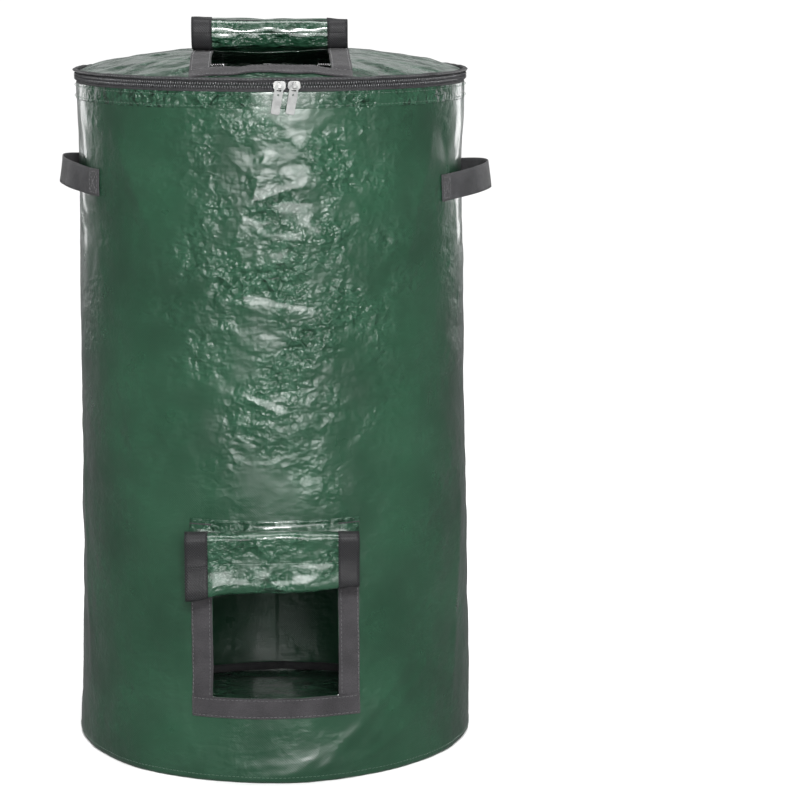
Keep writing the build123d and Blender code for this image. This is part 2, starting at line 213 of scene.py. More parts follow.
BASE_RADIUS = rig.box("wall_panel")[1].x
WALL_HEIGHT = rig.box("wall_panel")[1].z
WALL_HEM_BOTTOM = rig.box("wall_top_hem")[0].z
WALL_HEM_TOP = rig.box("wall_top_hem")[1].z
WALL_HEM_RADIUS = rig.box("wall_top_hem")[1].x
TAPE_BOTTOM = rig.box("zip_tape_lower")[0].z
TAPE_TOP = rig.box("zip_tape_upper")[1].z
TAPE_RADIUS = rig.box("zip_tape_lower")[1].x
TAPE_THICKNESS = 0.0008
CAD_FABRIC = 0.0012
COLLAR = 0.018  # the straight top of the wall, above its taper
TOP_RADIUS = TAPE_RADIUS - TAPE_THICKNESS
COIL_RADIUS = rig.box("zip_coil_lower")[1].x
LOWER_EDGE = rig.box("zip_coil_lower")[1].z
LOWER_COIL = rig.box("zip_coil_lower")[0].z
UPPER_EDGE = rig.box("zip_coil_upper")[0].z
UPPER_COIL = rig.box("zip_coil_upper")[1].z
PIPING_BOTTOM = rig.box("lid_piping")[0].z
PIPING_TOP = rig.box("lid_piping")[1].z
PIPING_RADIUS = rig.box("lid_piping")[1].x
LID_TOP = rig.box("lid_panel")[1].z
LID_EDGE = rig.box("lid_panel")[0].z + CAD_FABRIC
WALL_TAPER_END = WALL_HEIGHT - COLLAR
HALF_WINDOW = -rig.box("front_frame_left")[1].x
HALF_FLAP = -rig.box("front_frame_left")[0].x
HALF_LID_WINDOW = -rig.box("top_frame_left")[1].x
HALF_LID_FLAP = -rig.box("top_frame_left")[0].x
WINDOW_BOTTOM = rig.box("front_frame_bottom")[1].z
FRAME_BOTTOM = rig.box("front_frame_bottom")[0].z
FRONT_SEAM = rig.box("front_flap_hem")[0].z
FRONT_HEM_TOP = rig.box("front_flap_hem")[1].z
LID_FRAME_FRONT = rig.box("top_frame_front")[0].y
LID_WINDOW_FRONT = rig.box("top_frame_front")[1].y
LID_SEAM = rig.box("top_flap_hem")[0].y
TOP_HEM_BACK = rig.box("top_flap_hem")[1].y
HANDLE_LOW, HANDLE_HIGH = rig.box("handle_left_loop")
HANDLE_HEIGHT = (HANDLE_LOW.z + HANDLE_HIGH.z) / 2
ZIP_END = 165.0  # azimuth where the zip stops, on either side of the hinge strip
FABRIC = 0.0006
STEP = 0.0045  # spacing of a large sheet's vertices


# ---- building blocks ---------------------------------------------------------


def link(mesh, name):
    piece = bpy.data.objects.new(name, mesh)
    bpy.context.scene.collection.objects.link(piece)
    return piece


def make_mesh(name, points, faces, cloth=None):
    """A smooth mesh.  cloth gives each vertex's place on the flat cloth, in metres."""
    mesh = bpy.data.meshes.new(name)
    mesh.from_pydata([tuple(p) for p in points], [], faces)
    mesh.update()
    for polygon in mesh.polygons:
        polygon.use_smooth = True
    if cloth:
        layer = mesh.uv_layers.new(name="cloth")
        for loop in mesh.loops:
            layer.data[loop.index].uv = cloth[loop.vertex_index]
    return link(mesh, name)


def spread(low, high, step):
    """Evenly spaced values from low to high, no further apart than step."""
    count = max(1, ceil(abs(high - low) / step - 1e-6))
    return [low + (high - low) * k / count for k in range(count + 1)]


def lines(stops, step):
    """Values through every stop in turn, no further apart than step."""
    values = [stops[0]]
    for low, high in zip(stops, stops[1:]):
        values += spread(low, high, step)[1:]
    return values


def grid_sheet(name, across, along, place, cloth, keep=None, closed=False):
    """A sheet over a grid.  place and cloth take (across, along); keep says which cells stay."""
    points = [place(a, b) for b in along for a in across]
    flat = [cloth(a, b) for b in along for a in across]
    width = len(across)
    faces = []
    for row in range(len(along) - 1):
        for column in range(width - (0 if closed else 1)):
            after = (column + 1) % width
            last = across[after] if after else across[0] + 360
            middle = ((across[column] + last) / 2, (along[row] + along[row + 1]) / 2)
            if keep and not keep(*middle):
                continue
            corner = row * width
            faces.append((corner + column, corner + after, corner + width + after,
                          corner + width + column))
    return make_mesh(name, points, faces, flat)


def tube_faces(start, rings, corners):
    """The sides and ends of a tube of rings, whose vertices begin at start."""
    faces = []
    for ring in range(rings - 1):
        low = start + ring * corners
        for corner in range(corners):
            after = (corner + 1) % corners
            faces.append((low + corner, low + after, low + corners + after, low + corners + corner))
    last = start + (rings - 1) * corners
    faces.append(tuple(start + corner for corner in range(corners - 1, -1, -1)))
    faces.append(tuple(last + corner for corner in range(corners)))
    return faces


def thicken(piece, thickness, offset=0.0):
    """Gives a sheet its thickness; offset 1 grows it outwards, -1 inwards."""
    solid = piece.modifiers.new("thickness", "SOLIDIFY")
    solid.thickness = thickness
    solid.offset = offset
    return piece


def facing(azimuth):
    """The level direction that points out of the bag at an azimuth."""
    return Vector((sin(radians(azimuth)), -cos(radians(azimuth)), 0))


def smoothstep(low, high, value):
    """A smooth share from 0 at low to 1 at high."""
    share = min(max((value - low) / (high - low), 0), 1)
    return share * share * (3 - 2 * share)


# ---- the crumpled wall and lid -----------------------------------------------

CRUMPLE_SEED = Vector((3.7, 11.2, 5.4))


def crumple(place, size, octaves):
    """A crumpled height from about -1 to 1: facets of about that size that meet in creases."""
    total = 0.0
    weight = 1.0
    position = place / size + CRUMPLE_SEED
    for _ in range(octaves):
        total += weight * (abs(noise.noise(position)) * 2 - 0.5)
        weight *= 0.52
        position = position * 2.03 + CRUMPLE_SEED
    return total


def fold(distance, width):
    """The height of a soft fold at a distance from its line."""
    return 1 / (1 + (distance / width) ** 2)


# Folds left in the wall by its own weight: azimuth and height of both ends, width and height.
FOLDS = [
    (-19, 0.632, 12, 0.668, 0.0040, 0.0017),
    (-9, 0.540, 20, 0.518, 0.0035, 0.0015),
    (6, 0.716, 29, 0.622, 0.0040, 0.0018),
    (-22, 0.452, 7, 0.410, 0.0040, 0.0014),
    (-2, 0.690, -12, 0.585, 0.0035, 0.0014),
    (14, 0.600, 31, 0.640, 0.0035, 0.0013),
    (-26, 0.575, -12, 0.530, 0.0035, 0.0012),
    (10, 0.006, 37, 0.105, 0.0045, 0.0020),
    (18, 0.004, 44, 0.060, 0.0040, 0.0017),
    (3, 0.010, 24, 0.058, 0.0035, 0.0013),
    (24, 0.030, 50, 0.120, 0.0035, 0.0012),
    (-14, 0.018, 16, 0.026, 0.0035, 0.0012),
    (-8, 0.004, 30, 0.028, 0.005, 0.0022),
    (-52, 0.010, -30, 0.052, 0.007, 0.0026),
    (-70, 0.120, -78, 0.330, 0.009, 0.0020),
    (64, 0.090, 70, 0.300, 0.009, 0.0022),
    (40, 0.560, 52, 0.700, 0.008, 0.0020),
    (-34, 0.600, -50, 0.705, 0.008, 0.0018),
    (100, 0.02, 130, 0.16, 0.008, 0.003),
    (-150, 0.02, -120, 0.14, 0.008, 0.003),
    (150, 0.45, 165, 0.66, 0.009, 0.002),
]


def wall_radius(height):
    """The plain wall's radius at a height."""
    share = min(max(height, 0) / WALL_TAPER_END, 1)
    return BASE_RADIUS + (TOP_RADIUS - BASE_RADIUS) * share


def fold_height(azimuth, height):
    """All the named folds together at a place on the wall."""
    total = 0.0
    for first, low, last, high, width, size in FOLDS:
        run = Vector((radians(last - first) * BASE_RADIUS, high - low))
        here = Vector((radians(azimuth - first) * BASE_RADIUS, height - low))
        share = here.dot(run) / run.length_squared
        if -0.3 < share < 1.3:
            fade = smoothstep(-0.3, 0.25, share) * smoothstep(1.3, 0.75, share)
            aside = abs(here.x * run.y - here.y * run.x) / run.length
            total += size * fade * fold(aside, width)
    return total


def wall_relief(azimuth, height):
    """How far the crumpled wall stands out from its plain radius."""
    place = facing(azimuth) * BASE_RADIUS
    place.z = height
    swell = noise.noise(place / 0.21 + CRUMPLE_SEED) * 0.0034
    buckles = crumple(place, 0.09, 2) * 0.0013
    fine = crumple(place, 0.036, 2) * 0.0007
    lit_band = hypot(radians(azimuth - 6) * BASE_RADIUS / 0.13, (height - 0.58) / 0.19)
    busy = 0.45 + 0.85 * smoothstep(1.5, 0.4, lit_band) + 0.3 * noise.noise(place / 0.13)
    calm = smoothstep(WALL_HEIGHT + 0.004, WALL_HEIGHT - 0.06, height)
    relief = swell + buckles + fine * busy + fold_height(azimuth, height)
    meets_hem = 0.0017 * smoothstep(WALL_HEM_BOTTOM - 0.05, WALL_HEM_BOTTOM, height)
    return relief * (0.12 + 0.88 * calm) - 0.0010 + meets_hem


def on_wall(azimuth, height, lift=0.0):
    """A point on the crumpled wall, or lifted off it."""
    tuck = 0.0025 * (1 - min(max(height, 0) / 0.006, 1)) ** 2
    radius = wall_radius(height) + wall_relief(azimuth, height) - tuck + lift
    angle = radians(azimuth)
    return Vector((radius * sin(angle), -radius * cos(angle), height))


def wall_cloth(azimuth, height):
    """A place on the wall as a place on its flat cloth."""
    return (radians(azimuth) * BASE_RADIUS, height)


def lid_relief(x, y):
    """How far the crumpled lid stands above its plain dome."""
    place = Vector((x, y, 1.3))
    radius = hypot(x, y)
    swell = noise.noise(place / 0.11 + CRUMPLE_SEED) * 0.0030
    buckles = crumple(Vector((x * 0.8, y * 1.25, 2.1)), 0.075, 3) * 0.0022
    edge = smoothstep(TOP_RADIUS, TOP_RADIUS - 0.035, radius)
    pucker = 0.0012 * sin(22 * atan2(y, x) + 3 * noise.noise(place / 0.05))
    near_rim = smoothstep(TOP_RADIUS - 0.07, TOP_RADIUS - 0.012, radius)
    return (swell + buckles) * (0.1 + 0.9 * edge) + pucker * near_rim * (0.3 + 0.7 * edge)


def on_lid(x, y, lift=0.0):
    """A point on the crumpled lid, or lifted off it."""
    dome = LID_EDGE + (LID_TOP - LID_EDGE) * (1 - (hypot(x, y) / TOP_RADIUS) ** 3.2)
    return Vector((x, y, dome + lid_relief(x, y) + lift - 0.001))


# ---- materials ---------------------------------------------------------------


class Shader:
    """A material's node tree, with its Principled shader."""

    def __init__(self, name, colour, roughness, **sockets):
        self.material = bpy.data.materials.new(name)
        self.material.use_nodes = True
        self.tree = self.material.node_tree
        self.surface = self.tree.nodes["Principled BSDF"]
        self.surface.inputs["Base Color"].default_value = (*colour, 1)
        self.surface.inputs["Roughness"].default_value = roughness
        for socket, value in sockets.items():
            self.surface.inputs[socket.replace("_", " ")].default_value = value

    def add(self, kind, inputs=(), **settings):
        """A node, with sockets by name or number set to a value or linked to another's socket."""
        node = self.tree.nodes.new(kind)
        for key, value in settings.items():
            setattr(node, key, value)
        for key, value in dict(inputs).items():
            if isinstance(value, bpy.types.NodeSocket):
                self.tree.links.new(value, node.inputs[key])
            else:
                node.inputs[key].default_value = value
        return node

    def grain(self, scale, detail):
        """Fine noise fixed to the piece, for what has no flat cloth."""
        place = self.add("ShaderNodeTexCoord").outputs["Object"]
        inputs = {"Vector": place, "Scale": scale, "Detail": detail}
        return self.add("ShaderNodeTexNoise", inputs).outputs[0]

    def math(self, operation, first, second=0.0):
        return self.add("ShaderNodeMath", {0: first, 1: second}, operation=operation).outputs[0]

    def cloth(self, across=1.0, along=1.0):
        """Coordinates on the flat cloth in metres, each times a factor."""
        place = self.add("ShaderNodeUVMap", uv_map="cloth").outputs[0]
        scaled = {0: place, 1: (across, along, 1.0)}
        return self.add("ShaderNodeVectorMath", scaled, operation="MULTIPLY").outputs[0]

    def weave(self, across, along):
        """A plain weave's height, -1 to 1, with threads that far apart."""
        place = self.add("ShaderNodeSeparateXYZ", {0: self.cloth(pi / across, pi / along)})
        warp = self.math("SINE", place.outputs[0])
        weft = self.math("SINE", place.outputs[1])
        return self.math("MULTIPLY", warp, weft)

    def noise(self, size, detail=2.0, along=1.0, kind="FBM"):
        """Noise with features of about that size in metres."""
        place = self.cloth(1 / size, along / size)
        inputs = {"Vector": place, "Scale": 1.0, "Detail": detail}
        return self.add("ShaderNodeTexNoise", inputs, noise_type=kind).outputs[0]

    def facets(self, size, along=1.0, shape="MANHATTAN"):
        """Crumpled flat facets of about that size in metres."""
        bend = self.add("ShaderNodeTexNoise", {"Vector": self.cloth(1 / size, along / size), "Scale": 1.3})
        place = {0: self.cloth(1 / size, along / size), 1: bend.outputs[1]}
        moved = self.add("ShaderNodeVectorMath", place, operation="ADD").outputs[0]
        return self.add("ShaderNodeTexVoronoi", {"Vector": moved, "Scale": 1.0}, distance=shape).outputs[0]

    def near(self, across, along, width, height):
        """A share that falls from 1 to 0 away from a place on the flat cloth."""
        away = {0: self.cloth(1 / width, 1 / height), 1: (across / width, along / height, 0)}
        apart = self.add("ShaderNodeVectorMath", away, operation="SUBTRACT").outputs[0]
        distance = self.add("ShaderNodeVectorMath", {0: apart}, operation="LENGTH").outputs[1]
        return self.range(distance, 0.3, 1.5, 1.0, 0.0)

    def bump(self, height, distance, under=None, strength=1.0):
        """A bump of that many metres, on top of another bump."""
        inputs = {"Height": height, "Distance": distance, "Strength": strength}
        if under:
            inputs["Normal"] = under
        return self.add("ShaderNodeBump", inputs).outputs[0]

    def blend(self, share, first, second):
        """A colour between two, by a share from 0 to 1."""
        inputs = {0: share, 6: (*first, 1), 7: (*second, 1)}
        return self.add("ShaderNodeMix", inputs, data_type="RGBA").outputs[2]

    def range(self, value, low, high, to_low=0.0, to_high=1.0):
        inputs = {0: value, 1: low, 2: high, 3: to_low, 4: to_high}
        return self.add("ShaderNodeMapRange", inputs).outputs[0]

    def use(self, **sockets):
        """Links outputs to the surface's sockets."""
        for socket, value in sockets.items():
            self.tree.links.new(value, self.surface.inputs[socket.replace("_", " ")])


def green_fabric(name, for_wall=False):
    """Laminated woven polyethylene: flat tapes in a plain weave under a glossy crinkled film."""
    made = Shader(name, (0.011, 0.045, 0.023), 0.36, Coat_Weight=0.45, Coat_Roughness=0.12,
                  Specular_IOR_Level=0.4)
    weave = made.weave(0.0014, 0.0014)
    small = made.facets(0.012, 1.3)
    medium = made.facets(0.034, 1.2)
    crinkle = made.noise(0.02, 2.0, 1.4, "RIDGED_MULTIFRACTAL")
    mottle = made.range(made.noise(0.06, 2.0), 0.40, 0.58, 0.2, 1.0)
    strength = mottle
    if for_wall:
        # On the wall this share gathers the crinkle, and the paler creases, in the lit front band where the highlights
        # fall; on the creases that is a painted glint.
        lit_band = made.range(made.near(0.02, 0.58, 0.12, 0.19), 0.0, 1.0, 0.16, 1.0)
        strength = made.math("MULTIPLY", mottle, lit_band)
    normal = made.bump(medium, 0.0085, strength=strength)
    normal = made.bump(small, 0.0034, normal, strength)
    normal = made.bump(crinkle, 0.0012, normal, strength)
    normal = made.bump(weave, 0.00007, normal)
    patches = made.range(made.noise(0.12, 4.0), 0.35, 0.68)
    colour = made.blend(patches, (0.005, 0.024, 0.0115), (0.010, 0.043, 0.0215))
    # Paler creases: partly wear on the crease ridges and partly a painted glint, since on the wall they gather in the
    # lit front band where the highlights fall.
    paler_share = made.math("MULTIPLY", made.range(small, 0.6, 1.0, 0.0, 0.3), strength)
    pale = {0: paler_share, 6: colour, 7: (0.03, 0.085, 0.054, 1)}
    crease_wear_and_glint = made.add("ShaderNodeMix", pale, data_type="RGBA").outputs[2]
    threads = {0: made.range(weave, -1.0, 1.0, 0.0, 0.22), 6: crease_wear_and_glint, 7: (0.019, 0.066, 0.038, 1)}
    final = made.add("ShaderNodeMix", threads, data_type="RGBA").outputs[2]
    rough = made.range(made.noise(0.05, 3.0), 0.3, 0.7, 0.26, 0.42)
    made.use(Base_Color=final, Roughness=rough, Normal=normal)
    return made.material


def woven_tape(name, low, high, rib, roughness=0.75):
    """A ribbed woven tape, its ribs across its length, a little faded in places."""
    made = Shader(name, high, roughness, Sheen_Weight=0.06, Specular_IOR_Level=0.3)
    weave = made.weave(rib, rib * 0.6)
    fuzz = made.noise(0.0008, 2.0)
    normal = made.bump(weave, rib * 0.14)
    normal = made.bump(fuzz, 0.00012, normal)
    normal = made.bump(made.noise(0.012, 2.0), 0.0007, normal)
    paler_share = made.math("ADD", made.range(made.noise(0.02, 4.0), 0.3, 0.75, 0.0, 0.8),
                     made.range(weave, -1.0, 1.0, 0.0, 0.2))
    made.use(Base_Color=made.blend(paler_share, low, high), Normal=normal)
    return made.material


def loop_tape():
    """The soft half of hook and loop tape: a dense short pile."""
    made = Shader("loop_tape", (0.02, 0.019, 0.021), 0.9, Sheen_Weight=0.08, Specular_IOR_Level=0.25)
    pile = made.noise(0.0011, 3.0)
    tufts = made.facets(0.0016, shape="EUCLIDEAN")
    normal = made.bump(tufts, 0.0005)
    normal = made.bump(pile, 0.0004, normal)
    normal = made.bump(made.noise(0.02, 2.0), 0.0012, normal)
    shade = made.math("ADD", made.range(pile, 0.3, 0.7, 0.0, 0.6),
                      made.range(made.noise(0.025), 0.3, 0.7, 0.0, 0.4))
    made.use(Base_Color=made.blend(shade, (0.009, 0.0085, 0.0095), (0.036, 0.034, 0.037)), Normal=normal)
    return made.material


def hook_tape():
    """The rough half of hook and loop tape: rows of small stiff hooks on a woven ground."""
    made = Shader("hook_tape", (0.016, 0.016, 0.017), 0.55, Specular_IOR_Level=0.3)
    hooks = made.weave(0.0013, 0.0017)
    normal = made.bump(made.range(hooks, 0.0, 1.0), 0.0007)
    normal = made.bump(made.noise(0.015, 2.0), 0.0009, normal)
    tips = made.range(hooks, 0.4, 1.0, 0.0, 1.0)
    made.use(Base_Color=made.blend(tips, (0.008, 0.008, 0.009), (0.04, 0.04, 0.042)), Normal=normal)
    return made.material


def zip_metal(name, low, high, metallic):
    """Cast zinc under a thin satin finish, a little uneven in tone."""
    made = Shader(name, high, 0.55, Metallic=metallic, Specular_IOR_Level=0.25)
    grain = made.grain(900.0, 3.0)
    smear = made.grain(120.0, 2.0)
    colour = made.blend(made.range(smear, 0.3, 0.7), low, high)
    rough = made.range(grain, 0.3, 0.7, 0.24, 0.44)
    made.use(Base_Color=colour, Roughness=rough, Normal=made.bump(grain, 0.00003))
    return made.material


def coil_plastic():
    """Nylon monofilament, a little scuffed."""
    made = Shader("coil_plastic", (0.02, 0.02, 0.022), 0.32, Coat_Weight=0.2)
    scuff = made.grain(600.0, 2.0)
    colour = made.blend(made.range(scuff, 0.4, 0.7), (0.014, 0.014, 0.015), (0.05, 0.05, 0.053))
    made.use(Base_Color=colour, Normal=made.bump(scuff, 0.00004))
    return made.material


def thread(name, colour):
    """Twisted polyester sewing thread."""
    made = Shader(name, colour, 0.5, Sheen_Weight=0.3)
    twist = made.grain(2500.0, 1.0)
    light = tuple(min(c * 1.8, 1) for c in colour)
    made.use(Base_Color=made.blend(twist, colour, light), Normal=made.bump(twist, 0.00008))
    return made.material


GREEN = green_fabric("green_fabric")
WALL_GREEN = green_fabric("wall_fabric", for_wall=True)
BINDING = woven_tape("black_binding", (0.009, 0.009, 0.010), (0.028, 0.028, 0.030), 0.0009)
ZIP_TAPE = woven_tape("zip_tape", (0.008, 0.008, 0.009), (0.024, 0.024, 0.026), 0.0007)
WEBBING = woven_tape("webbing", (0.012, 0.012, 0.013), (0.036, 0.036, 0.039), 0.0015, 0.62)
LOOP = loop_tape()
HOOK = hook_tape()
PULL_METAL = zip_metal("pull_metal", (0.09, 0.093, 0.091), (0.15, 0.153, 0.15), 0.1)
SLIDER_METAL = zip_metal("slider_metal", (0.09, 0.09, 0.09), (0.17, 0.17, 0.165), 0.6)
COIL = coil_plastic()
DARK_THREAD = thread("dark_thread", (0.03, 0.03, 0.032))
GREEN_THREAD = thread("green_thread", (0.011, 0.042, 0.023))


def finished(piece, material, slot, replaced=()):
    """Gives a piece its material and slot, and the CAD nodes that it stands for."""
    piece.data.materials.append(material)
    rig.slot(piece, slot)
    if replaced:
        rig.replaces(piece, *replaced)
    return piece


# ---- sewing thread -----------------------------------------------------------

STITCH_PITCH = 0.0048
STITCH_LENGTH = 0.0034
STITCH_RADIUS = 0.00032
STITCH_CORNERS = 5
STITCH_RINGS = ((0, 0.35, -0.3), (0.25, 1, 0.55), (0.75, 1, 0.55), (1, 0.35, -0.3))  # along, size, rise


def stitch_row(points, normals):
    """The vertices and faces of a row of stitches along points, raised off them."""
    vertices, faces = [], []
    lengths = [0.0]
    for first, second in zip(points, points[1:]):
        lengths.append(lengths[-1] + (second - first).length)

    def at(distance):
        index = max(k for k, length in enumerate(lengths) if length <= distance + 1e-9)
        index = min(index, len(points) - 2)
        run = max(lengths[index + 1] - lengths[index], 1e-9)
        share = (distance - lengths[index]) / run
        return points[index].lerp(points[index + 1], share), normals[index]

    count = int(lengths[-1] / STITCH_PITCH)
    for number in range(count):
        start = number * STITCH_PITCH + (lengths[-1] - count * STITCH_PITCH) / 2
        ends = [at(start), at(start + STITCH_LENGTH)]
        run = ends[1][0] - ends[0][0]
        up = ends[0][1].normalized()
        side = run.cross(up).normalized()
        faces += tube_faces(len(vertices), len(STITCH_RINGS), STITCH_CORNERS)
        for share, size, rise in STITCH_RINGS:
            centre = ends[0][0] + run * share + up * rise * STITCH_RADIUS
            for corner in range(STITCH_CORNERS):
                angle = 2 * pi * corner / STITCH_CORNERS
                reach = up * cos(angle) + side * sin(angle)
                vertices.append(centre + reach * size * STITCH_RADIUS)
    return vertices, faces


def stitches(name, rows, material):
    """One piece that holds several rows of stitches, each a list of points and of normals."""
    vertices, faces = [], []
    for points, normals in rows:
        more, sides = stitch_row(points, normals)
        faces += [tuple(index + len(vertices) for index in side) for side in sides]
        vertices += more
    piece = make_mesh(name, vertices, faces)
    piece.data.materials.append(material)
    return piece


def sew(name, rows, material, slot, body):
    """Makes a piece of stitches that rides on a body."""
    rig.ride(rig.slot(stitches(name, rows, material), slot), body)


def wall_line(azimuths, heights, lift):
    """Points and normals along a line on the wall, through pairs of azimuth and height."""
    points, normals = [], []
    for azimuth, height in zip(azimuths, heights):
        points.append(on_wall(azimuth, height, lift))
        normals.append(facing(azimuth))
    return points, normals


def wall_run(first, low, last, high, lift, step=0.004):
    """A straight line on the wall between two places, each an azimuth and a height."""
    length = hypot(radians(last - first) * BASE_RADIUS, high - low)
    shares = spread(0, 1, step / length)
    azimuths = [first + (last - first) * share for share in shares]
    heights = [low + (high - low) * share for share in shares]
    return wall_line(azimuths, heights, lift)


def lid_run(x0, y0, x1, y1, lift, step=0.004):
    """A straight line on the lid between two places."""
    shares = spread(0, 1, step / hypot(x1 - x0, y1 - y0))
    points = [on_lid(x0 + (x1 - x0) * s, y0 + (y1 - y0) * s, lift) for s in shares]
    return points, [Vector((0, 0, 1))] * len(points)


def wall_azimuth(x, height):
    """The azimuth at which the front of the wall has that x."""
    return degrees(asin(x / wall_radius(height)))


# ---- the bag -----------------------------------------------------------------

WINDOW_AZIMUTH = wall_azimuth(HALF_WINDOW, (WINDOW_BOTTOM + FRONT_SEAM) / 2)
FINE_STEP = degrees(STEP / BASE_RADIUS)


def make_wall():
    """The round wall, open at the harvest window."""
    across = lines([-180, -WINDOW_AZIMUTH, WINDOW_AZIMUTH, 180], FINE_STEP)[:-1]
    along = [0, 0.0012, 0.0025, 0.004] + lines([0.006, WINDOW_BOTTOM, FRONT_SEAM, WALL_HEIGHT], STEP)

    def keep(azimuth, height):
        return abs(azimuth) > WINDOW_AZIMUTH or not WINDOW_BOTTOM < height < FRONT_SEAM

    wall = grid_sheet("wall", across, along, on_wall, wall_cloth, keep, closed=True)
    thicken(wall, FABRIC, -1)
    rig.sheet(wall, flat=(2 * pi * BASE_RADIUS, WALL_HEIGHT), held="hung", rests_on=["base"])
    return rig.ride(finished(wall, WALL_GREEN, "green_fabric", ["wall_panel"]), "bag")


def make_base():
    """The round base, which meets the foot of the wall."""
    def place(azimuth, radius):
        foot = on_wall(azimuth, 0)
        share = radius / BASE_RADIUS
        ripple = 0.0012 * (0.5 + 0.5 * noise.noise(Vector((foot.x, foot.y, 0)) * share / 0.05))
        return Vector((foot.x * share, foot.y * share, 0.0001 + ripple * share * (1 - share)))

    def cloth(azimuth, radius):
        return (radius * sin(radians(azimuth)), radius * cos(radians(azimuth)))

    across = spread(-180, 180, 3)[:-1]
    base = grid_sheet("base", across, spread(0.0004, BASE_RADIUS, 0.008), place, cloth, closed=True)
    thicken(base, FABRIC, -1)
    width = 2 * BASE_RADIUS
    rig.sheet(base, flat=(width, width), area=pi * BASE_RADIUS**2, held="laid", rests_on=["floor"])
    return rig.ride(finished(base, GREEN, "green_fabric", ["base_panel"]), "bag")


def make_back_seam():
    """The lap that closes the wall into a tube, down the middle of the back."""
    half = 0.010

    def place(across, height):
        azimuth = 180 + degrees(across / wall_radius(height))
        return on_wall(azimuth, height, 0.0005)

    lap = grid_sheet("back_seam", spread(-half, half, 0.004), spread(0.003, WALL_HEIGHT - 0.002, STEP),
                     place, lambda across, height: (across, height))
    thicken(lap, FABRIC)
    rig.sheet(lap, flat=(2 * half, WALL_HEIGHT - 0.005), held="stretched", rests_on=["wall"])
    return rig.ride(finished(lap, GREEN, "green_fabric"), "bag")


def make_lid():
    """The domed lid, open at the feed window, its edge turned down behind the piping."""
    edge = TOP_RADIUS + 0.0004
    across = lines([-edge, -HALF_LID_WINDOW, HALF_LID_WINDOW, edge], STEP)
    along = lines([-edge, LID_WINDOW_FRONT, LID_SEAM, edge], STEP)

    def place(x, y):
        radius = hypot(x, y)
        if radius > edge:
            x, y = x * edge / radius, y * edge / radius
        near = smoothstep(edge - 0.006, edge, min(radius, edge))
        return on_lid(x, y) - Vector((0, 0, 0.0035 * near))

    def keep(x, y):
        in_window = abs(x) < HALF_LID_WINDOW and LID_WINDOW_FRONT < y < LID_SEAM
        return hypot(x, y) < edge + STEP * 0.45 and not in_window

    lid = grid_sheet("lid", across, along, place, lambda x, y: (x, y), keep)
    thicken(lid, FABRIC, -1)
    width = 2 * edge
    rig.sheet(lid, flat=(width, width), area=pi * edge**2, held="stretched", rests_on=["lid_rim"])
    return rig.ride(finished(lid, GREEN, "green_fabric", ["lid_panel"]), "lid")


# ---- bands round the rim -----------------------------------------------------


def swept_band(name, profile, first=-180.0, last=180.0, wave=0.0, step=1.2):
    """A closed section of (radius, height) corners swept round the bag, a little uneven."""
    whole = last - first >= 360
    azimuths = spread(first, last, step)
    if whole:
        azimuths = azimuths[:-1]
    around = [0.0]
    for low, high in zip(profile, profile[1:] + profile[:1]):
        around.append(around[-1] + hypot(high[0] - low[0], high[1] - low[1]))
    points, flat, faces = [], [], []
    for azimuth in azimuths:
        angle = radians(azimuth)
        seed = Vector((sin(angle), cos(angle), profile[0][1] * 7)) * 9
        out, up = noise.noise(seed) * wave, noise.noise(seed * 1.3 + CRUMPLE_SEED) * wave
        for index, (radius, height) in enumerate(profile):
            reach = radius + out
            points.append((reach * sin(angle), -reach * cos(angle), height + up))
            flat.append((angle * BASE_RADIUS, around[index]))
    count = len(profile)
    columns = len(azimuths)
    for column in range(columns if whole else columns - 1):
        here, after = column * count, (column + 1) % columns * count
        for index in range(count):
            following = (index + 1) % count
            faces.append((here + index, after + index, after + following, here + following))
    if not whole:
        faces.append(tuple(reversed(range(count))))
        faces.append(tuple(len(points) - count + index for index in range(count)))
    return make_mesh(name, points, faces, flat)


